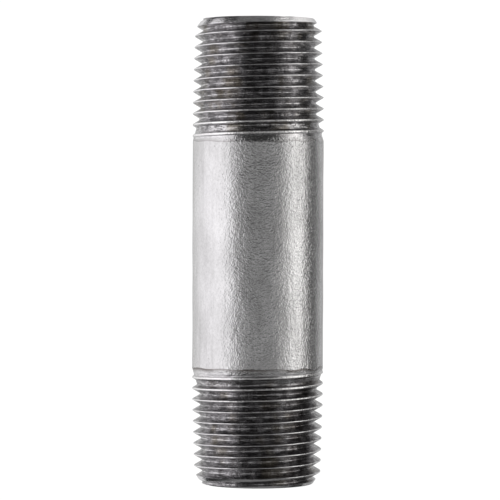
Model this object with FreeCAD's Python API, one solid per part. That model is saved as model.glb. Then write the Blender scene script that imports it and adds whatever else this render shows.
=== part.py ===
# Threaded pipe nipple: 3 in. of 1/2 in. Schedule 40 steel pipe, taper-threaded at both
# ends after galvanising. Millimetres, +Z along the pipe, origin at the centre of the
# lower end face.
import FreeCAD, Part
import math
import os

INCH = 25.4

# Pipe, hot-dip galvanised inside and out
LENGTH = 3.0 * INCH
OUTSIDE_DIAMETER = 0.840 * INCH
WALL = 0.109 * INCH
ZINC = 0.08

# American taper pipe thread, 1/2 in. - 14
THREADS_PER_INCH = 14
FLANK_ANGLE = 60.0
TAPER_ON_DIAMETER = 1.0 / 16.0
SMALL_END_PITCH_DIAMETER = 0.7584 * INCH
DEPTH_IN_PITCHES = 0.8
ROOT_FLAT_IN_PITCHES = 0.038

# Where the die stopped: the runout ends this far from each end face
LOWER_RUNOUT = 18.9
UPPER_RUNOUT = 20.0
THROAT_ANGLE = 17.0

# How much the die has rubbed down the tops of the last turns, per mm back from the runout
LAND_RUB = 0.002

# Height at which each thread's crest crosses the +X side, measured from its end face
LOWER_CREST = 1.99
UPPER_CREST = 1.97

# Ends: outside chamfer and reamed mouth
CHAMFER_DIAMETER = 18.3
CHAMFER_ANGLE = 36.0
REAM = 0.4

# Thread cutter: extra height over the crest, turns beyond the end, sampling
OVERCUT = 0.02
LEAD_IN_TURNS = 2
SPANS_PER_TURN = 4
POINTS_PER_TURN = 24

PITCH = INCH / THREADS_PER_INCH
OUTSIDE = OUTSIDE_DIAMETER / 2
BORE = OUTSIDE - WALL
DEPTH = DEPTH_IN_PITCHES * PITCH
SLOPE = TAPER_ON_DIAMETER / 2
FLANK = math.tan(math.radians(FLANK_ANGLE / 2))
ROOT_AT_END = (SMALL_END_PITCH_DIAMETER - DEPTH) / 2
CREST_AT_END = (SMALL_END_PITCH_DIAMETER + DEPTH) / 2
CHAMFER_RADIUS = CHAMFER_DIAMETER / 2
CHAMFER = math.tan(math.radians(CHAMFER_ANGLE))
THROAT = math.tan(math.radians(THROAT_ANGLE))

CENTRE = FreeCAD.Vector(0, 0, 0)
UP = FreeCAD.Vector(0, 0, 1)
SIDEWAYS = FreeCAD.Vector(1, 0, 0)


def revolved(outline):
    """Turn a closed outline of (radius, height) points about the pipe's axis."""
    points = [FreeCAD.Vector(radius, 0, height) for radius, height in outline]
    return Part.Face(Part.makePolygon(points + points[:1])).revolve(CENTRE, UP, 360)


def groove_section(height):
    """Corners (radius, height) of the groove's section where its centre is at height."""
    root = ROOT_AT_END + height * SLOPE
    top = DEPTH + OVERCUT
    half_root = ROOT_FLAT_IN_PITCHES * PITCH / 2
    half_mouth = half_root + FLANK * top
    return [
        (root, height - half_root),
        (root, height + half_root),
        (root + top, height + half_mouth),
        (root + top, height - half_mouth),
    ]


def groove_rail(corner, start, turns):
    """Spline along one corner of the groove, its parameter counting the turns."""
    points = []
    parameters = []
    for step in range(turns * POINTS_PER_TURN + 1):
        turn = step / POINTS_PER_TURN
        radius, height = groove_section(start + turn * PITCH)[corner]
        angle = 2 * math.pi * turn
        points.append(FreeCAD.Vector(radius * math.cos(angle), radius * math.sin(angle), height))
        parameters.append(turn)
    rail = Part.BSplineCurve()
    rail.interpolate(Points=points, Parameters=parameters)
    return rail


def groove(start, turns):
    """Solid of the helical groove from its four rails, in short spans, with end caps."""
    rails = [groove_rail(corner, start, turns) for corner in range(4)]
    faces = []
    for span in range(turns * SPANS_PER_TURN):
        first = span / SPANS_PER_TURN
        last = (span + 1) / SPANS_PER_TURN
        edges = [rail.toShape(first, last) for rail in rails]
        for corner in range(4):
            faces.append(Part.makeRuledSurface(edges[corner], edges[(corner + 1) % 4]))
    for turn in (0, turns):
        corners = [rail.value(turn) for rail in rails]
        faces.append(Part.Face(Part.makePolygon(corners + corners[:1])))
    shell = Part.makeShell(faces)
    shell.sewShape()
    solid = Part.Solid(shell)
    if solid.Volume < 0:
        solid.reverse()
    return solid


def thread_cutter(crest, runout):
    """What the die removes at the lower end: the groove, let out along the throat cone."""
    start = crest - (LEAD_IN_TURNS + 0.5) * PITCH
    turns = math.ceil((runout - start) / PITCH) + 1
    skin = OUTSIDE + ZINC
    foot = runout - (skin - ROOT_AT_END) / THROAT
    top = runout + 2 * PITCH
    throat = Part.makeCone(
        ROOT_AT_END, skin + (top - runout) * THROAT, top - foot, FreeCAD.Vector(0, 0, foot), UP
    )
    return groove(start, turns).cut(throat)


def thread_cutters():
    """One cutter for each end; the upper one is the lower kind, turned end for end."""
    lower = thread_cutter(LOWER_CREST, LOWER_RUNOUT)
    upper = thread_cutter(UPPER_CREST, UPPER_RUNOUT)
    upper.rotate(CENTRE, SIDEWAYS, 180)
    upper.translate(FreeCAD.Vector(0, 0, LENGTH))
    return [lower, upper]


def upside_down(outline):
    """The same end of an outline, at the top of the pipe and listed the other way."""
    return [(radius, LENGTH - height) for radius, height in reversed(outline)]


def rubbed_land(radius, runout):
    """Where the crest cone meets the rubbed skin of this radius, then where that is whole."""
    height = (radius - CREST_AT_END - runout * LAND_RUB) / (SLOPE - LAND_RUB)
    return [(CREST_AT_END + height * SLOPE, height), (radius, runout)]


def steel_pipe(cutters):
    """The steel tube: chamfered, reamed and threaded at both ends."""
    chamfer_end = (CREST_AT_END - CHAMFER_RADIUS) / (CHAMFER - SLOPE)
    mouth = [
        (BORE, REAM),
        (BORE + REAM, 0),
        (CHAMFER_RADIUS, 0),
        (CREST_AT_END + chamfer_end * SLOPE, chamfer_end),
    ]
    lower = mouth + rubbed_land(OUTSIDE, LOWER_RUNOUT)
    upper = mouth + rubbed_land(OUTSIDE, UPPER_RUNOUT)
    return revolved(lower + upside_down(upper)).cut(cutters)


def outer_zinc_coat(cutters):
    """Zinc on the outside, left on the barrel and on the lands of the last turns."""
    inside = rubbed_land(OUTSIDE, LOWER_RUNOUT) + upside_down(rubbed_land(OUTSIDE, UPPER_RUNOUT))
    skin = OUTSIDE + ZINC
    outside = rubbed_land(skin, LOWER_RUNOUT) + upside_down(rubbed_land(skin, UPPER_RUNOUT))
    return revolved(inside + outside[::-1]).cut(cutters)


def bore_zinc_coat():
    """Zinc lining of the bore, its ends bevelled by the same reamer as the steel."""
    end = [(BORE, REAM), (BORE - ZINC, REAM + ZINC)]
    return revolved(end + upside_down(end))


def main():
    cutters = thread_cutters()
    pieces = {
        "steel_pipe": steel_pipe(cutters),
        "outer_zinc_coat": outer_zinc_coat(cutters),
        "bore_zinc_coat": bore_zinc_coat(),
    }
    os.makedirs("parts", exist_ok=True)
    for name, shape in pieces.items():
        shape.exportStep(f"parts/{name}.step")
        print(name, shape.isValid(), len(shape.Solids), round(shape.Volume, 2), len(shape.Faces))


main()
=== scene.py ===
import math

import bpy
import numpy as np
from bpy.props import FloatProperty, FloatVectorProperty, IntProperty, PointerProperty
from mathutils import Euler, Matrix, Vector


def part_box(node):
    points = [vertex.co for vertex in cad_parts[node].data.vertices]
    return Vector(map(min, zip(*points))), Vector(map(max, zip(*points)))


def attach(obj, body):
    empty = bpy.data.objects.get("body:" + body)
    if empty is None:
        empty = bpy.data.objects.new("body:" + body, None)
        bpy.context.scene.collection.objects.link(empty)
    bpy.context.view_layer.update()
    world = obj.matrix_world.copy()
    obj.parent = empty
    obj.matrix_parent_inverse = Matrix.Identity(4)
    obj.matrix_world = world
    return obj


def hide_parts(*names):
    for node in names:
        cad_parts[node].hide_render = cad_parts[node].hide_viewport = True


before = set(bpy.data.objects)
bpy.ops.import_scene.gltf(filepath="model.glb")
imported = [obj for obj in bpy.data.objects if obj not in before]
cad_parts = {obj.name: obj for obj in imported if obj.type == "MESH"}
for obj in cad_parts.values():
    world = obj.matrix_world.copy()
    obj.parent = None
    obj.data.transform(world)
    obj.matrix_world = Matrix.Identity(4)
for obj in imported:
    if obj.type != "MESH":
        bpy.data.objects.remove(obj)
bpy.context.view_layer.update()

bl_info = {
    "name": "Galvanised Pipe Nipple",
    "version": (1, 0, 0),
    "blender": (4, 5, 0),
    "location": "View3D > Sidebar > Pipe Nipple",
    "description": "Builds a galvanised, taper-threaded steel pipe nipple and its studio",
    "category": "Add Mesh",
}

# Metres, +Z up the pipe, origin at the centre of the lower end face
MM = 0.001
INCH = 25.4 * MM
TURN = 2 * math.pi
WHITE = (1.0, 1.0, 1.0)

# Meshes: an edge sharper than this isn't smoothed, and zinc thinner than this isn't there
SHARP_EDGE = math.radians(38)
THINNEST_ZINC = 0.002 * MM

# Turns of mesh past each end face, drawn in to the end
LEAD = 5

# Where the oil has run down the lower thread, round the pipe from +X
OIL_SIDE = math.radians(320)

# Where the rows of the mesh run: up a flank, over a root and across a land
UP_FLANK = (0.1, 0.38, 0.68, 0.9)
OVER_ROOT = (-1, -0.5, 0, 0.5, 1)
ACROSS_LAND = (0.34, 0.66)

PIPE_LOW, PIPE_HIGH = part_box("steel_pipe")
SKIN_LOW, SKIN_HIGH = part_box("outer_zinc_coat")
LINING_LOW, LINING_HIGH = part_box("bore_zinc_coat")


# ---------------------------------------------------------------- settings


def length(name, description, default):
    """A size in metres."""
    return FloatProperty(
        name=name, description=description, default=default, precision=6, unit="LENGTH"
    )


def angle(name, description, degrees):
    """An angle, given in degrees and kept in radians."""
    return FloatProperty(
        name=name, description=description, default=math.radians(degrees), unit="ROTATION"
    )


def share(name, description, default):
    """A number from 0 to 1."""
    return FloatProperty(
        name=name, description=description, default=default, min=0.0, max=1.0, subtype="FACTOR"
    )


def amount(name, description, default):
    """A plain number."""
    return FloatProperty(name=name, description=description, default=default)


def count(name, description, default):
    """A whole number."""
    return IntProperty(name=name, description=description, default=default, min=1)


def colour(name, description, default):
    """A linear colour."""
    return FloatVectorProperty(
        name=name, description=description, default=default, size=3, min=0.0, max=4.0,
        subtype="COLOR",
    )


class PipeSizes(bpy.types.PropertyGroup):
    """Lengths and diameters of the pipe itself."""

    length: length("Length", "From end face to end face", PIPE_HIGH.z - PIPE_LOW.z)
    steel_diameter: length("Steel diameter", "Outside of the steel, under the zinc", 0.840 * INCH)
    barrel_diameter: length("Barrel diameter", "Outside of the zinc", SKIN_HIGH.x - SKIN_LOW.x)
    bore_diameter: length("Bore", "Inside of the steel", LINING_HIGH.x - LINING_LOW.x)
    lining: length("Lining", "Thickness of the zinc in the bore", 0.08 * MM)
    ream: length("Ream", "Bevel at the mouths of the bore", 0.4 * MM)
    chamfer_diameter: length("Chamfer diameter", "Diameter left on the end faces", 18.3 * MM)
    chamfer_angle: angle("Chamfer angle", "From the pipe's axis", 36)


class ThreadSizes(bpy.types.PropertyGroup):
    """The taper pipe thread cut on both ends."""

    pitch: length("Pitch", "From crest to crest", INCH / 14)
    depth: length("Depth", "From root to crest", 0.8 * INCH / 14)
    end_pitch_diameter: length("Pitch diameter", "At the end face", 0.7584 * INCH)
    taper: amount("Taper", "Change of radius with height", 1 / 32)
    flank_angle: angle("Flank angle", "Between the two flanks", 60)
    root_width: length("Root width", "Flat at the bottom of the groove", 0.038 * INCH / 14)
    root_fill: length("Root fill", "How far the root is filled and rounded", 0.12 * MM)
    crest_wear: length("Crest wear", "How far the crests are worn down", 0.03 * MM)
    rounding: length("Rounding", "Softening of crests and roots", 0.015 * MM)
    lower_crest: length("Lower crest", "Height of a crest on the +X side", 1.99 * MM)
    upper_crest: length("Upper crest", "The same, down from the top face", 1.97 * MM)
    lower_runout: length("Lower runout", "Where the lower thread ends", 18.9 * MM)
    upper_runout: length("Upper runout", "Where the upper thread ends", 20.0 * MM)
    throat_angle: angle("Throat angle", "Slope on which the groove runs out", 17)


class Unevenness(bpy.types.PropertyGroup):
    """Small departures from true shape."""

    columns: count("Columns", "Mesh columns round the pipe", 168)
    barrel_turns: amount("Barrel turns", "Pitches to one turn of mesh on the barrel", 3.0)
    ripple: length("Ripple", "Height of the slow waves in the outer zinc", 0.016 * MM)
    nicks: length("Nicks", "Depth of the nicks along the crests", 0.035 * MM)
    chatter: length("Chatter", "Height of the tool's chatter on the flanks", 0.010 * MM)
    scar_depth: length("Scar depth", "Step where the die rubbed the zinc", 0.018 * MM)
    lower_scar: length("Lower scar", "How far past the lower runout it rubbed", 0.26 * MM)
    upper_scar: length("Upper scar", "The same at the upper runout", 0.12 * MM)
    scar_waves: length("Scar waves", "How far the scar's border wanders", 0.20 * MM)
    lower_burn: share("Lower burn", "How black the lower thread runs out", 0.30)
    # Painted highlight: the last faint turns are made bright in colour, partly as rubbed steel
    gleam: share("Gleam", "How bright the last faint turns are rubbed", 0.55)
    # Also scales the painted shade along the step at the upper scar's border
    upper_rub: share("Upper rub", "Darkness of the upper scar beside the lower one's", 0.30)
    lining_ripple: length("Lining ripple", "Height of the runs in the bore", 0.05 * MM)


class ZincFinish(bpy.types.PropertyGroup):
    """Hot-dipped zinc on the barrel."""

    # land colour: rubbed bright zinc, and also a painted highlight on the last lands
    land: colour("Land", "Rubbed bright on the last lands", (0.93, 0.92, 0.92))
    light: colour("Light zinc", "The brighter patches", (0.82, 0.815, 0.82))
    dark: colour("Dark zinc", "The duller patches", (0.60, 0.595, 0.595))
    # scar colour also paints the shade along the step at the scar's border
    scar: colour("Scarred zinc", "Rubbed and burnt by the die", (0.16, 0.14, 0.13))
    smooth: share("Smooth", "Lowest roughness", 0.14)
    rough: share("Rough", "Highest roughness", 0.24)
    grain: length("Grain", "Width of one grain of the peel", 0.44 * MM)
    grain_height: length("Grain height", "Height of the peel", 0.066 * MM)


class CutFinish(bpy.types.PropertyGroup):
    """Steel cut by the die, oily and lightly tarnished."""

    # crest colour: rubbed bright steel, and also a painted highlight along the crests
    crest: colour("Crest", "Rubbed bright along the crests", (0.93, 0.92, 0.93))
    bright: colour("Bright steel", "Fresh cuts", (0.68, 0.67, 0.68))
    dull: colour("Dull steel", "The cut flanks", (0.25, 0.245, 0.25))
    tarnish: colour("Tarnish", "Olive and brown stains", (0.26, 0.22, 0.14))
    burnt: colour("Burnt", "Torn black where the cut runs out", (0.10, 0.09, 0.09))
    smooth: share("Smooth", "Lowest roughness", 0.11)
    rough: share("Rough", "Highest roughness", 0.24)
    tear: length("Tear", "Width of one torn mark", 0.40 * MM)
    tear_height: length("Tear height", "Depth of the torn marks", 0.050 * MM)


class LiningFinish(bpy.types.PropertyGroup):
    """Dull zinc in the bore."""

    light: colour("Light zinc", "The brighter runs", (0.58, 0.58, 0.60))
    dark: colour("Dark zinc", "The duller ground", (0.34, 0.34, 0.36))
    smooth: share("Smooth", "Lowest roughness", 0.34)
    rough: share("Rough", "Highest roughness", 0.58)
    grain: length("Grain", "Width of one grain", 0.7 * MM)
    grain_height: length("Grain height", "Height of the grains", 0.05 * MM)


class StudioSettings(bpy.types.PropertyGroup):
    """Camera, screens and floor."""

    distance: length("Distance", "Camera to the pipe's axis", 462.2 * MM)
    height: length("Height", "Camera above the floor", 49.52 * MM)
    down: angle("Down", "How far the camera looks down", 1.3900)
    left: angle("Left", "How far the camera looks to the left", 0.160)
    roll: angle("Roll", "How far the camera leans to the left", 0.16)
    lens: amount("Lens", "Focal length on 36 mm film, in mm", 202.6)
    screen_distance: length("Screen distance", "From the pipe to the light screens", 1.2)
    key: amount("Key", "Strength of the screens left of the camera", 1.0)
    side: amount("Side", "Strength of the screens right of the camera", 1.0)
    overhead: amount("Overhead", "Brightness of the ceiling screen", 0.15)
    ground: amount("Ground", "Brightness of the screen far below", 0.16)
    room: amount("Room", "Brightness of everything else", 0.03)
    backdrop: amount("Backdrop", "Brightness of floor and backdrop", 1.05)


SETTINGS = {
    "nipple_pipe": PipeSizes,
    "nipple_thread": ThreadSizes,
    "nipple_unevenness": Unevenness,
    "nipple_zinc": ZincFinish,
    "nipple_cut": CutFinish,
    "nipple_lining": LiningFinish,
    "nipple_studio": StudioSettings,
}


# ---------------------------------------------------------------- shape


def softer_min(a, b, width):
    """The smaller of two radii, with the corner between them rounded."""
    return np.minimum(a, b) - width * np.log1p(np.exp(-np.abs(a - b) / width))


def softer_max(a, b, width):
    """The larger of two radii, with the corner between them rounded."""
    return -softer_min(-a, -b, width)


def eased(low, high, value):
    """0 below low, 1 above high, and a smooth rise between."""
    part = np.clip((value - low) / (high - low), 0, 1)
    return part * part * (3 - 2 * part)


def waves(turned, height, seed, around, along, parts=18):
    """Smooth seeded unevenness, mostly between -1 and 1, that closes round the pipe.

    around is the most waves in a turn, along the shortest wave up the pipe and parts how
    many waves are added up.
    """
    rng = np.random.default_rng(seed)
    total = np.zeros(np.broadcast(turned, height).shape)
    for _ in range(parts):
        per_turn = rng.integers(0, around + 1)
        climb = rng.uniform(-1, 1) / along
        phase = rng.uniform(0, TURN)
        total += np.cos(per_turn * turned + TURN * climb * height + phase)
    return total / math.sqrt(parts)


class ThreadShape:
    """Radius of the outside at any place, and where the mesh rows run."""

    def __init__(self, scene):
        pipe, thread = scene.nipple_pipe, scene.nipple_thread
        self.rough = scene.nipple_unevenness
        self.thread = thread
        self.length = pipe.length
        self.skin = pipe.barrel_diameter / 2
        self.steel = pipe.steel_diameter / 2
        self.chamfer_radius = pipe.chamfer_diameter / 2
        self.chamfer = math.tan(pipe.chamfer_angle)
        self.flank = math.tan(thread.flank_angle / 2)
        self.throat = math.tan(thread.throat_angle)
        self.root_at_end = (thread.end_pitch_diameter - thread.depth) / 2
        self.fill = thread.root_fill
        self.crest_at_end = (thread.end_pitch_diameter + thread.depth) / 2 - thread.crest_wear
        self.lower_groove = thread.lower_crest + thread.pitch / 2
        self.upper_groove = self.length - thread.upper_crest + thread.pitch / 2

    def groove_centre(self, turned, height):
        """Height of the middle of the nearest groove."""
        start = np.where(height < self.length / 2, self.lower_groove, self.upper_groove)
        pitch = self.thread.pitch
        part = turned / TURN
        return start + pitch * (np.round((height - start) / pitch - part) + part)

    def from_end(self, height):
        """Distance from the nearer end face, and that end's runout."""
        lower = height < self.length / 2
        away = np.where(lower, height, self.length - height)
        return away, np.where(lower, self.thread.lower_runout, self.thread.upper_runout)

    def root(self, away):
        """Radius at the bottom of the sharp groove."""
        return self.root_at_end + away * self.thread.taper

    def run_out(self, away, runout):
        """Radius of the cone on which the groove gets shallower and vanishes."""
        return self.skin - (runout - away) * self.throat

    def uncut(self, away):
        """Radius of the chamfered, taper-turned skin before the groove."""
        crest = self.crest_at_end + away * self.thread.taper
        chamfer = self.chamfer_radius + away * self.chamfer
        return np.minimum(np.minimum(crest, chamfer), self.skin)

    def widths(self, centre):
        """Half widths of a groove: its foot, then how far up and down its mouth reaches.

        The mouth is given in the steel and then in the skin. The chamfer narrows it near
        the ends, and the rows of the net keep a little apart where it does.
        """
        away, runout = self.from_end(centre)
        root = self.root(away)
        half_root = self.thread.root_width / 2
        crest = self.crest_at_end + away * self.thread.taper
        at_skin = half_root + self.flank * (np.minimum(crest, self.skin) - root)
        at_steel = half_root + self.flank * (np.minimum(crest, self.steel) - root)
        bevel = self.chamfer_radius + self.chamfer * away - root + half_root / self.flank
        least = 0.25 * at_skin
        inward = np.clip(bevel / (1 / self.flank - self.chamfer), least, at_skin)
        outward = np.clip(bevel / (1 / self.flank + self.chamfer), least, at_skin)
        lower = centre < self.length / 2
        up = np.where(lower, inward, outward)
        down = np.where(lower, outward, inward)
        raised = self.run_out(away, runout) - root
        foot = half_root + self.flank * np.maximum(raised, self.fill)
        most_in_skin, most_in_mouth = 0.985, 0.85
        up_steel = np.minimum(at_steel, most_in_skin * up)
        down_steel = np.minimum(at_steel, most_in_skin * down)
        foot = np.minimum(foot, most_in_mouth * np.minimum(up_steel, down_steel))
        return foot, up_steel, up, down_steel, down

    def radius(self, turned, height):
        """Radius of the true outside, zinc included."""
        thread = self.thread
        away, runout = self.from_end(height)
        offset = np.abs(height - self.groove_centre(turned, height))
        vee = self.root(away) + (offset - thread.root_width / 2) / self.flank
        floor = np.maximum(self.root(away) + self.fill, self.run_out(away, runout))
        bottom = softer_max(floor, vee, 2 * thread.rounding)
        return softer_min(self.uncut(away), bottom, thread.rounding)

    def outline(self, turned, height):
        """Radius with its unevenness, and the values that the finishes read there.

        depth is 0 on the crest and 1 at the root, crest is 1 on the crests, past is
        millimetres beyond the border of the scar, burnt, gleam and oil are how much the
        steel is blackened, rubbed bright with a painted highlight, and oily, and rub is the
        darkness of the scar and of the painted shade along its step.
        """
        rough, thread = self.rough, self.thread
        away, runout = self.from_end(height)
        lower = height < self.length / 2
        true = self.radius(turned, height)
        depth = np.clip((self.uncut(away) - true) / thread.depth, 0, 1)
        crest = 1 - eased(0.02, 0.12, depth)
        threaded = 1 - eased(-0.8 * MM, 0.2 * MM, away - runout)
        skin = eased(self.steel, self.skin - 0.02 * MM, true) * (1 - threaded)

        nicks = waves(turned, height, seed=3, around=60, along=1.1 * MM)
        nicks = np.maximum(nicks - 0.45, 0)
        chatter = waves(turned, height, seed=5, around=75, along=0.9 * MM, parts=26)
        ripple = waves(turned, height, seed=7, around=12, along=7 * MM, parts=26)
        border = waves(turned, 0 * height, seed=11, around=14, along=1, parts=9)

        scar = np.where(lower, rough.lower_scar, rough.upper_scar) + rough.scar_waves * border
        past = away - runout - scar
        inside = 1 - eased(-0.12 * MM, 0.0, past)
        raised = self.run_out(away, runout) - self.root(away)
        shallow = eased(self.fill, self.fill + 0.25 * MM, raised)
        burnt = np.where(lower, rough.lower_burn * shallow * (1 - crest), 0)
        # Painted highlight on the last faint turns, partly rubbed bright steel
        gleam = rough.gleam * eased(0.75 * MM, 0.95 * MM, raised)
        oil = lower * eased(0.93, 0.99, np.cos(turned - OIL_SIDE))
        # Strength of the scar's darkness and of the painted shade along its step, full at the
        # lower end
        rub = np.where(lower, 1, rough.upper_rub)

        made = true - rough.nicks * nicks * crest * threaded
        made = made + rough.chatter * chatter * (1 - crest) * threaded
        made = made + rough.ripple * ripple * skin
        made = made - rough.scar_depth * inside * skin * (0.7 + 0.3 * chatter)
        values = {"depth": depth, "crest": crest * threaded, "past": past / MM}
        values.update(burnt=burnt, gleam=gleam, rub=rub, oil=oil * threaded)
        return made, {key: value.ravel() for key, value in values.items()}

    def net(self):
        """Angles and heights of a wound net, and how many of its rows lie in one turn.

        The rows follow the grooves' edges. A row ends, one turn on, where the row that is
        that many rows higher starts.
        """
        pitch = self.thread.pitch
        margin = 1.0 * MM
        first_low = self.lower_groove - LEAD * pitch
        low_turns = math.ceil((self.thread.lower_runout + margin - first_low) / pitch)
        last_low = first_low + low_turns * pitch
        last_high = self.upper_groove + LEAD * pitch
        upper_end = self.length - self.thread.upper_runout - margin
        high_turns = math.ceil((last_high - upper_end) / pitch)
        first_high = last_high - high_turns * pitch
        middle = max(1, round((first_high - last_low) / (self.rough.barrel_turns * pitch)))
        knots = np.cumsum([0, low_turns, middle, high_turns])
        levels = [first_low, last_low, first_high, last_high]

        columns = self.rough.columns
        part = np.arange(columns) / columns
        turns = np.arange(1, knots[-1] - 2)[:, None] + part

        def groove(at):
            centre = np.interp(at, knots, levels)
            before, after = (np.interp(at + step, knots, levels) for step in (-1, 1))
            room = np.minimum(after - centre, centre - before) / pitch
            return centre, [width * room for width in self.widths(centre)]

        centre, (foot, up_steel, up, down_steel, down) = groove(turns)
        after, (_, _, _, _, next_down) = groove(turns + 1)
        rows = [centre - down, centre - down_steel]
        rows += [centre - foot - (down_steel - foot) * f for f in reversed(UP_FLANK)]
        rows += [centre + foot * f for f in OVER_ROOT]
        rows += [centre + foot + (up_steel - foot) * f for f in UP_FLANK]
        rows += [centre + up_steel, centre + up]
        land = (after - next_down) - (centre + up)
        rows += [centre + up + land * f for f in ACROSS_LAND]
        heights = np.stack(rows, axis=1).reshape(-1, columns)
        return part * TURN, heights, len(rows)


def wound_faces(heights, rows_per_turn, top):
    """Corners of the net's quads, then its bottom and top rings.

    Everything past the end faces is drawn in to them.
    """
    rows, columns = heights.shape
    lowest = (heights <= 0).sum(axis=0) - 1
    highest = (heights < top).sum(axis=0)
    row = np.clip(np.arange(rows)[:, None], lowest, highest)
    number = row * columns + np.arange(columns)
    beyond = np.concatenate([number[:, 1:], np.roll(number[:, :1], -rows_per_turn, axis=0)], 1)
    last = rows - rows_per_turn
    quads = np.stack(
        [number[: last - 1], beyond[: last - 1], beyond[1:last], number[1:last]], axis=2
    )
    return quads.reshape(-1, 4), number[0], number[last - 1]


def ring_faces(lower, upper):
    """Quads between two rings of the same number of corners."""
    return np.stack([lower, np.roll(lower, -1), np.roll(upper, -1), upper], axis=1)


def largest_group(faces, corners):
    """The faces that hang together with the most others, without the loose scraps."""
    group = np.arange(corners)
    while True:
        wider = group.copy()
        np.minimum.at(wider, faces, group[faces].min(axis=1)[:, None])
        wider = wider[wider]
        if (wider == group).all():
            break
        group = wider
    member = group[faces[:, 0]]
    return faces[member == np.bincount(member).argmax()]


def closed_up(face):
    """The face's corners without repeats, or nothing if fewer than three are left."""
    kept = [n for i, n in enumerate(face) if n != face[i - 1]]
    return kept if len(set(kept)) > 2 else None


def build_mesh(name, points, faces, values, material):
    """Object from points, faces and per-point values, smooth but for its sharp edges."""
    faces = [f for f in map(closed_up, faces.tolist()) if f]
    used = sorted({n for f in faces for n in f})
    number = {n: i for i, n in enumerate(used)}
    mesh = bpy.data.meshes.new(name)
    mesh.from_pydata(points[used].tolist(), [], [[number[n] for n in f] for f in faces])
    for key, value in values.items():
        mesh.attributes.new(key, "FLOAT", "POINT").data.foreach_set(
            "value", np.ascontiguousarray(value[used], dtype=np.float32)
        )
    mesh.shade_smooth()
    mesh.set_sharp_from_angle(angle=SHARP_EDGE)
    mesh.materials.append(material)
    if mesh.validate():
        raise RuntimeError(f"{name}: the mesh had faults")
    piece = bpy.data.objects.new(name, mesh)
    bpy.context.scene.collection.objects.link(piece)
    return piece


def around(radius, turned, height):
    """Points at these radii, angles and heights."""
    flat = np.broadcast_arrays(radius * np.cos(turned), radius * np.sin(turned), height)
    return np.stack([part.ravel() for part in flat], axis=1)


def settle(piece, node):
    """Stand the piece in for its CAD node, on the one body, with its finish."""
    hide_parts(node)
    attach(piece, "root")


class OutsideNet:
    """The net over the whole outside, its radii and the values that its finish uses."""

    def __init__(self, scene):
        self.shape = ThreadShape(scene)
        self.turned, heights, rows_per_turn = self.shape.net()
        self.faces, self.bottom, self.top = wound_faces(heights, rows_per_turn, self.shape.length)
        self.heights = np.clip(heights, 0, self.shape.length)
        self.radius, self.values = self.shape.outline(self.turned, self.heights)

    def points(self, radius):
        """The net's points at these radii."""
        return around(radius, self.turned, self.heights)


def steel_pipe(scene):
    """The steel tube with its threads, chamfers, end faces and bore."""
    net = OutsideNet(scene)
    shape = net.shape
    pipe = scene.nipple_pipe
    bore = pipe.bore_diameter / 2
    ream = pipe.ream
    mouth = 0.5 * (bore + ream + shape.chamfer_radius)
    inside = [(mouth, 0), (bore + ream, 0), (bore + 0.35 * ream, 0.65 * ream), (bore, ream)]
    levels = inside + [(bore, shape.length * f) for f in (0.25, 0.5, 0.75)]
    levels += [(radius, shape.length - height) for radius, height in reversed(inside)]

    columns = len(net.turned)
    points = [net.points(np.minimum(net.radius, shape.steel))]
    faces = [net.faces]
    ring = net.bottom
    for number, (radius, height) in enumerate(levels):
        points.append(around(np.full(columns, radius), net.turned, height))
        next_ring = net.radius.size + number * columns + np.arange(columns)
        faces.append(ring_faces(next_ring, ring))
        ring = next_ring
    faces.append(ring_faces(net.top, ring))
    points, faces = np.concatenate(points), np.concatenate(faces)
    plain = np.zeros(len(levels) * columns)
    values = {key: np.concatenate([value, plain]) for key, value in net.values.items()}
    piece = build_mesh("steel_pipe_cut", points, faces, values, cut_steel(scene))
    settle(piece, "steel_pipe")


def outer_zinc(scene):
    """The zinc left on the barrel and on the lands of the last turns."""
    net = OutsideNet(scene)
    steel = net.shape.steel
    coated = net.radius > steel + THINNEST_ZINC
    bare = np.minimum(net.radius, steel)
    outside = net.points(np.where(coated, net.radius, bare))
    points = np.concatenate([outside, net.points(bare)])
    faces = largest_group(net.faces[coated.ravel()[net.faces].any(axis=1)], coated.size)
    faces = np.concatenate([faces, coated.size + faces[:, [0, 3, 2, 1]]])
    values = {key: np.concatenate([value, value]) for key, value in net.values.items()}
    piece = build_mesh("outer_zinc_skin", points, faces, values, zinc(scene))
    settle(piece, "outer_zinc_coat")


def bore_zinc(scene):
    """The zinc lining of the bore, with slow runs, bevelled at both mouths."""
    pipe = scene.nipple_pipe
    columns = scene.nipple_unevenness.columns
    turned = np.arange(columns) / columns * TURN
    bore = pipe.bore_diameter / 2
    lining = bore - pipe.lining
    bevel = pipe.ream + pipe.lining
    rows = 90
    heights = np.linspace(bevel, pipe.length - bevel, rows)[:, None]
    runs = waves(turned, heights, seed=17, around=14, along=30 * MM, parts=30)
    still = eased(0, 2 * MM, np.minimum(heights, pipe.length - heights) - bevel)
    depth = scene.nipple_unevenness.lining_ripple
    wall = lining - depth * (0.5 + 0.5 * np.clip(runs, -1, 1)) * still
    bottom = around(np.full(columns, bore), turned, pipe.ream)
    top = around(np.full(columns, bore), turned, pipe.length - pipe.ream)
    points = np.concatenate([bottom, around(wall, turned, heights), top])
    rings = np.arange(len(points)).reshape(-1, columns)
    faces = [ring_faces(upper, lower) for lower, upper in zip(rings, rings[1:])]
    faces = np.concatenate(faces + [ring_faces(rings[0], rings[-1])])
    values = {"runs": np.concatenate([np.zeros(columns), runs.ravel(), np.zeros(columns)])}
    piece = build_mesh("bore_zinc_lining", points, faces, values, lining_zinc(scene))
    settle(piece, "bore_zinc_coat")


# ---------------------------------------------------------------- finishes


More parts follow.
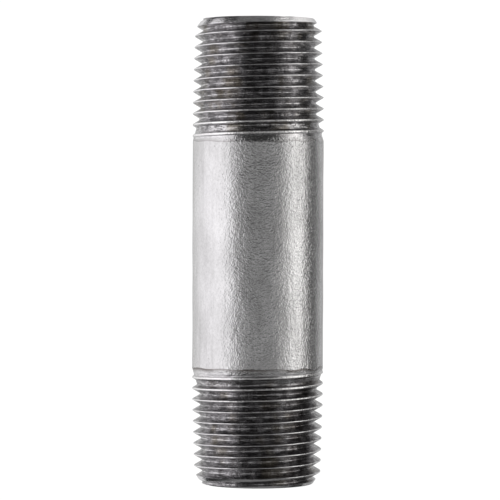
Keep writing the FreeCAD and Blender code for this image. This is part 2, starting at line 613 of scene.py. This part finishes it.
class Finish:
    """A metal with its own node tree, and short ways to add nodes to it."""

    def __init__(self, name):
        self.material = bpy.data.materials.new(name)
        self.material.use_nodes = True
        self.tree = self.material.node_tree
        self.shader = self.tree.nodes["Principled BSDF"]
        self.shader.inputs["Metallic"].default_value = 1.0
        self.place = self.add("ShaderNodeTexCoord").outputs["Object"]

    def add(self, kind, inputs=(), **settings):
        """One node; inputs are values or sockets by name or number."""
        node = self.tree.nodes.new(kind)
        for key, value in settings.items():
            setattr(node, key, value)
        for key, value in dict(inputs).items():
            if isinstance(value, bpy.types.NodeSocket):
                self.tree.links.new(value, node.inputs[key])
            else:
                node.inputs[key].default_value = value
        return node

    def value(self, name):
        """A per-point value of the mesh."""
        return self.add("ShaderNodeAttribute", attribute_name=name).outputs["Fac"]

    def stretched(self, x, y, z):
        """The place, scaled along each axis."""
        scaled = self.add(
            "ShaderNodeVectorMath", {0: self.place, 1: (x, y, z)}, operation="MULTIPLY"
        )
        return scaled.outputs["Vector"]

    def noise(self, size, detail, roughness, place=None):
        """Noise whose features are about this size in metres."""
        vector = place or self.place
        inputs = {"Vector": vector, "Scale": 1 / size, "Detail": detail, "Roughness": roughness}
        return self.add("ShaderNodeTexNoise", inputs).outputs["Fac"]

    def spread(self, value, low, high, to_low=0.0, to_high=1.0):
        """The value's range low to high, smoothly, as to_low to to_high."""
        node = self.add(
            "ShaderNodeMapRange",
            {"Value": value, 1: low, 2: high, 3: to_low, 4: to_high},
            interpolation_type="SMOOTHSTEP",
        )
        return node.outputs["Result"]

    def combined(self, operation, values):
        """One value from two or more, taken in order."""
        result = values[0]
        for value in values[1:]:
            node = self.add("ShaderNodeMath", {0: result, 1: value}, operation=operation)
            result = node.outputs["Value"]
        return result

    def product(self, *values):
        """The values multiplied."""
        return self.combined("MULTIPLY", values)

    def total(self, *values):
        """The values added."""
        return self.combined("ADD", values)

    def unsigned(self, value):
        """The value without its sign."""
        return self.add("ShaderNodeMath", {0: value}, operation="ABSOLUTE").outputs["Value"]

    def blend(self, part, a, b):
        """Colour a where part is 0 and b where it is 1."""
        node = self.add("ShaderNodeMix", data_type="RGBA")
        for key, value in (("Factor", part), ("A", a), ("B", b)):
            socket = [s for s in node.inputs if s.name == key and s.enabled][0]
            if isinstance(value, bpy.types.NodeSocket):
                self.tree.links.new(value, socket)
            else:
                socket.default_value = (*value, 1.0) if key != "Factor" else value
        return [s for s in node.outputs if s.enabled][0]

    def bump(self, height, distance, normal=None):
        """Relief from a 0 to 1 height over this distance, on top of any other relief."""
        inputs = {"Height": height, "Distance": distance, "Strength": 1.0}
        if normal:
            inputs["Normal"] = normal
        return self.add("ShaderNodeBump", inputs).outputs["Normal"]

    def finish(self, base, roughness, normal):
        """Wire the three results to the shader."""
        for name, socket in (("Base Color", base), ("Roughness", roughness), ("Normal", normal)):
            self.tree.links.new(socket, self.shader.inputs[name])
        return self.material


def zinc(scene):
    """Peeled hot-dip zinc with faint drips and pits, and a thin dark band of painted shade along
    the step where the die stopped.
    """
    look = scene.nipple_zinc
    made = Finish("hot_dip_zinc")
    past = made.value("past")
    rub = made.value("rub")
    peel = made.noise(look.grain, 2.0, 0.55)
    fine = made.noise(look.grain * 0.5, 1.0, 0.5)
    slow = made.noise(3.0 * MM, 2.0, 0.5, made.stretched(1, 1, 0.6))
    patches = made.noise(5.0 * MM, 4.0, 0.6, made.stretched(1, 1, 0.5))
    drips = made.noise(0.9 * MM, 3.0, 0.6, made.stretched(1, 1, 0.06))
    rings = made.noise(0.6 * MM, 2.0, 0.6, made.stretched(0.2, 0.2, 1))
    broken = made.noise(6.0 * MM, 2.0, 0.5)
    pits = made.spread(made.noise(0.50 * MM, 2.0, 0.6), 0.70, 0.78)

    rubbed = made.spread(past, -0.7, 0.0)
    up_to_border = made.spread(past, -0.02, 0.05, 1.0, 0.0)
    smear = made.product(rubbed, up_to_border, made.spread(broken, 0.42, 0.54, 0.55, 0.85), rub)
    # Painted shade: a thin dark band along the step at the scar's border, in the scar's colour
    border = made.spread(made.unsigned(past), 0.03, 0.13, 1.0, 0.0)
    step_shade = made.product(border, made.spread(broken, 0.42, 0.54, 0.2, 0.8), rub)

    tone = made.total(
        made.spread(patches, 0.35, 0.65, 0.0, 0.5),
        made.spread(drips, 0.45, 0.75, 0.0, 0.3),
        made.spread(peel, 0.30, 0.75, 0.3, 0.0),
    )
    base = made.blend(tone, tuple(look.light), tuple(look.dark))
    base = made.blend(made.product(pits, 0.6), base, tuple(look.scar))
    # Painted highlight on the lands of the last turns, on top of their rubbed zinc
    base = made.blend(made.spread(made.value("crest"), 0.2, 0.7), base, tuple(look.land))
    base = made.blend(smear, base, tuple(look.scar))
    # Painted shade along the step at the scar's border
    base = made.blend(step_shade, base, tuple(look.scar))

    roughness = made.total(
        made.spread(patches, 0.3, 0.7, look.smooth, look.rough),
        made.spread(rings, 0.5, 0.8, 0.0, 0.04),
        made.product(smear, 0.10),
    )

    normal = made.bump(slow, 0.08 * MM)
    normal = made.bump(rings, 0.012 * MM, normal)
    normal = made.bump(peel, look.grain_height, normal)
    normal = made.bump(fine, look.grain_height * 0.5, normal)
    normal = made.bump(pits, 0.02 * MM, normal)
    return made.finish(base, roughness, normal)


def cut_steel(scene):
    """Die-cut steel: torn along the cut, bright on the crests with a painted highlight as well as
    rubbed steel, burnt where the cut runs out.
    """
    look = scene.nipple_cut
    made = Finish("die_cut_steel")
    tears = made.noise(look.tear, 3.0, 0.6, made.stretched(0.25, 0.25, 1.7))
    fine = made.noise(look.tear * 0.45, 2.0, 0.6)
    clots = made.noise(1.0 * MM, 3.0, 0.6)
    stains = made.noise(3.5 * MM, 3.0, 0.55, made.stretched(1, 1, 0.7))
    specks = made.spread(made.noise(0.30 * MM, 2.0, 0.6), 0.58, 0.64)

    off_crest = made.spread(made.value("depth"), 0.0, 0.3)
    stained = made.product(made.spread(stains, 0.50, 0.68), off_crest, 0.40)
    burnt = made.product(made.value("burnt"), made.spread(clots, 0.35, 0.60, 0.5, 1.0))
    oil = made.product(made.value("oil"), made.spread(clots, 0.35, 0.65, 0.9, 0.3))

    base = made.blend(made.spread(tears, 0.41, 0.61), tuple(look.dull), tuple(look.bright))
    base = made.blend(stained, base, tuple(look.tarnish))
    base = made.blend(made.product(specks, 0.85), base, tuple(look.burnt))
    base = made.blend(burnt, base, tuple(look.burnt))
    # Painted highlight on the last faint turns, in the crest colour, partly rubbed steel
    base = made.blend(made.value("gleam"), base, tuple(look.crest))
    base = made.blend(oil, base, tuple(look.burnt))
    # Painted highlight along the crests, on top of their rubbed bright steel
    base = made.blend(made.spread(made.value("crest"), 0.3, 0.8), base, tuple(look.crest))

    roughness = made.total(
        made.spread(clots, 0.3, 0.7, look.smooth, look.rough), made.product(burnt, 0.08)
    )

    normal = made.bump(clots, 0.03 * MM)
    normal = made.bump(tears, look.tear_height, normal)
    normal = made.bump(fine, look.tear_height * 0.4, normal)
    return made.finish(base, roughness, normal)


def lining_zinc(scene):
    """Dull, streaky zinc lining."""
    look = scene.nipple_lining
    made = Finish("lining_zinc")
    streaks = made.noise(1.4 * MM, 4.0, 0.6, made.stretched(1, 1, 0.08))
    grain = made.noise(look.grain, 3.0, 0.55)
    tone = made.total(
        made.spread(streaks, 0.35, 0.7, 0.0, 0.6), made.spread(made.value("runs"), 0, 1, 0, 0.4)
    )
    base = made.blend(tone, tuple(look.dark), tuple(look.light))
    roughness = made.spread(grain, 0.3, 0.7, look.smooth, look.rough)
    normal = made.bump(streaks, 0.05 * MM)
    normal = made.bump(grain, look.grain_height, normal)
    return made.finish(base, roughness, normal)


# ---------------------------------------------------------------- studio


def glowing(name, brightness, tint=WHITE):
    """A plain lit surface of one brightness."""
    material = bpy.data.materials.new(name)
    material.use_nodes = True
    tree = material.node_tree
    tree.nodes.clear()
    light = tree.nodes.new("ShaderNodeEmission")
    light.inputs["Color"].default_value = (*tint, 1.0)
    light.inputs["Strength"].default_value = brightness
    out = tree.nodes.new("ShaderNodeOutputMaterial")
    tree.links.new(light.outputs["Emission"], out.inputs["Surface"])
    return material


def grade(screen, glow, brightness):
    """Let the screen's brightness follow these values of its points, times the brightness."""
    glow = np.ascontiguousarray(glow, dtype=np.float32)
    screen.data.attributes.new("glow", "FLOAT", "POINT").data.foreach_set("value", glow)
    tree = screen.data.materials[0].node_tree
    graded = tree.nodes.new("ShaderNodeAttribute")
    graded.attribute_name = "glow"
    scaled = tree.nodes.new("ShaderNodeMath")
    scaled.operation = "MULTIPLY"
    scaled.inputs[1].default_value = brightness
    tree.links.new(graded.outputs["Fac"], scaled.inputs[0])
    tree.links.new(scaled.outputs["Value"], tree.nodes["Emission"].inputs["Strength"])


def stage_object(name, points, faces, material):
    """An object that isn't part of the nipple."""
    mesh = bpy.data.meshes.new(name)
    mesh.from_pydata(points, [], faces)
    mesh.materials.append(material)
    made = bpy.data.objects.new(name, mesh)
    bpy.context.scene.collection.objects.link(made)
    return made


def light_screen(name, reach, stops, edges, strength, tint=WHITE, ends=(1.0, 1.0)):
    """A curved screen round the pipe, graded from stop to stop.

    stops are (bearing, brightness), the bearing in degrees right of the camera. edges are
    the elevations of its lower and upper edge, in degrees, and ends scale the brightness
    there.
    """
    bearings, levels = zip(*stops)
    steps = max(2, round((bearings[-1] - bearings[0]) / 2) + 1)
    places = np.linspace(bearings[0], bearings[-1], steps)
    low, high = (reach * math.tan(math.radians(edge)) for edge in edges)
    points = []
    for bearing in np.radians(places):
        x, y = reach * math.sin(bearing), -reach * math.cos(bearing)
        points += [(x, y, low), (x, y, high)]
    faces = [(2 * i, 2 * i + 1, 2 * i + 3, 2 * i + 2) for i in range(steps - 1)]
    screen = stage_object(name, points, faces, glowing(name, strength, tint))
    grade(screen, np.outer(np.interp(places, bearings, levels), ends).ravel(), strength)
    screen.visible_camera = False


def flat_screen(name, half, height, material):
    """A level square, as far as half from the pipe's axis on each side."""
    corners = [(-half, -half, height), (half, -half, height), (half, half, height)]
    corners.append((-half, half, height))
    return stage_object(name, corners, [(0, 1, 2, 3)], material)


def light_screens(look):
    """The screens that the metal mirrors, all hidden from the camera."""
    reach = look.screen_distance
    cool, warm = (1.005, 0.99, 1.01), (1.01, 1.0, 0.985)
    left = (
        (-128, 0.95), (-104, 1.01), (-84, 1.14), (-72, 1.22), (-58, 1.22), (-49, 0.96), (-43, 0.50)
    )
    middle = (
        (-43, 0.50), (-37, 0.40), (-26, 0.33), (-12, 0.29), (6, 0.27), (24, 0.28), (42, 0.36)
    )
    right = ((42, 0.36), (49, 0.50), (60, 0.78), (70, 1.22), (80, 1.40), (89, 1.40))
    right_gap = ((89, 0.12), (124, 0.12))
    under = ((0, 0.25), (150, 0.45))
    back_right = ((124, 0.28), (150, 0.55), (162, 0.54), (180, 0.56))
    back_left = ((-180, 0.58), (-160, 0.66), (-148, 0.82), (-128, 0.88))
    over_gap = ((90, 0.80), (150, 0.80))

    light_screen("left_screen", reach, left, (-30, 48), look.key, cool)
    light_screen("fill_screen", reach, middle, (-16, 15), look.key, ends=(1.55, 0.50))
    light_screen("right_screen", reach, right, (-14, 62), look.side, warm)
    light_screen("dark_screen", reach, right_gap, (-12, 14), look.side, warm)
    light_screen("low_screen", reach, under, (-34, -18), look.side)
    light_screen("right_backdrop", reach, back_right, (-20, 40), look.side)
    light_screen("left_backdrop", reach, back_left, (-28, 28), look.key)
    light_screen("right_upper", reach, over_gap, (26, 52), look.side, warm)

    half, ceiling_height, ground_height = 0.45, 1.1, -0.7
    ceiling = glowing("ceiling", look.overhead)
    flat_screen("ceiling_screen", half, ceiling_height, ceiling).visible_camera = False
    ground = glowing("ground", look.ground)
    flat_screen("ground_glow", half, ground_height, ground).visible_camera = False


def floor_and_surround(scene):
    """A pale floor just under the pipe and a surround that only the camera sees as white."""
    look = scene.nipple_studio
    half, gap = 8.0, 0.02 * MM
    floor = flat_screen("floor", half, -gap, glowing("pale_floor", look.backdrop))
    floor.visible_glossy = False
    floor.visible_diffuse = False

    world = bpy.data.worlds.new("white_surround")
    world.use_nodes = True
    tree = world.node_tree
    surround = tree.nodes["Background"]
    seen = tree.nodes.new("ShaderNodeLightPath")
    strength = tree.nodes.new("ShaderNodeMapRange")
    strength.inputs["To Min"].default_value = look.room
    strength.inputs["To Max"].default_value = look.backdrop
    tree.links.new(seen.outputs["Is Camera Ray"], strength.inputs["Value"])
    tree.links.new(strength.outputs["Result"], surround.inputs["Strength"])
    surround.inputs["Color"].default_value = (1, 1, 1, 1)
    scene.world = world


def place_camera(scene):
    """The camera, a little above the pipe's middle and looking slightly down."""
    look = scene.nipple_studio
    lens = bpy.data.cameras.new("camera")
    lens.lens = look.lens
    lens.sensor_width = 36.0
    lens.clip_start, lens.clip_end = 0.01, 50.0
    camera = bpy.data.objects.new("camera", lens)
    scene.collection.objects.link(camera)
    camera.location = (0.0, -look.distance, look.height)
    aim = Euler((math.pi / 2 - look.down, 0.0, look.left)).to_matrix()
    lean = Euler((0.0, 0.0, look.roll)).to_matrix()
    camera.rotation_euler = (aim @ lean).to_euler()
    scene.camera = camera
    scene.view_settings.view_transform = "Standard"


def studio(scene):
    """Pale lit floor, soft graded screens, a white surround and the camera."""
    floor_and_surround(scene)
    light_screens(scene.nipple_studio)
    place_camera(scene)


# ---------------------------------------------------------------- operators


class NIPPLE_OT_steel_pipe(bpy.types.Operator):
    """Build the threaded steel pipe"""

    bl_idname = "nipple.steel_pipe"
    bl_label = "Steel pipe"

    def execute(self, context):
        steel_pipe(context.scene)
        return {"FINISHED"}


class NIPPLE_OT_outer_zinc(bpy.types.Operator):
    """Build the zinc on the outside of the pipe"""

    bl_idname = "nipple.outer_zinc"
    bl_label = "Outer zinc"

    def execute(self, context):
        outer_zinc(context.scene)
        return {"FINISHED"}


class NIPPLE_OT_bore_zinc(bpy.types.Operator):
    """Build the zinc lining of the bore"""

    bl_idname = "nipple.bore_zinc"
    bl_label = "Bore zinc"

    def execute(self, context):
        bore_zinc(context.scene)
        return {"FINISHED"}


class NIPPLE_OT_studio(bpy.types.Operator):
    """Set up the floor, the light screens and the camera"""

    bl_idname = "nipple.studio"
    bl_label = "Studio"

    def execute(self, context):
        studio(context.scene)
        return {"FINISHED"}


OPERATORS = (
    NIPPLE_OT_steel_pipe,
    NIPPLE_OT_outer_zinc,
    NIPPLE_OT_bore_zinc,
    NIPPLE_OT_studio,
)


class NIPPLE_PT_panel(bpy.types.Panel):
    """Lists the pieces and the studio"""

    bl_idname = "NIPPLE_PT_panel"
    bl_label = "Pipe Nipple"
    bl_space_type = "VIEW_3D"
    bl_region_type = "UI"
    bl_category = "Pipe Nipple"

    def draw(self, context):
        for operator in OPERATORS:
            self.layout.operator(operator.bl_idname)


CLASSES = (*SETTINGS.values(), *OPERATORS, NIPPLE_PT_panel)


def register():
    """Add the settings, the operators and the panel."""
    for item in CLASSES:
        bpy.utils.register_class(item)
    for name, group in SETTINGS.items():
        setattr(bpy.types.Scene, name, PointerProperty(type=group))


def unregister():
    """Take them away again."""
    for name in SETTINGS:
        delattr(bpy.types.Scene, name)
    for item in reversed(CLASSES):
        bpy.utils.unregister_class(item)


def main():
    """Build every piece, then the studio."""
    register()
    bpy.ops.nipple.steel_pipe()
    bpy.ops.nipple.outer_zinc()
    bpy.ops.nipple.bore_zinc()
    bpy.ops.nipple.studio()


if __name__ == "__main__":
    main()
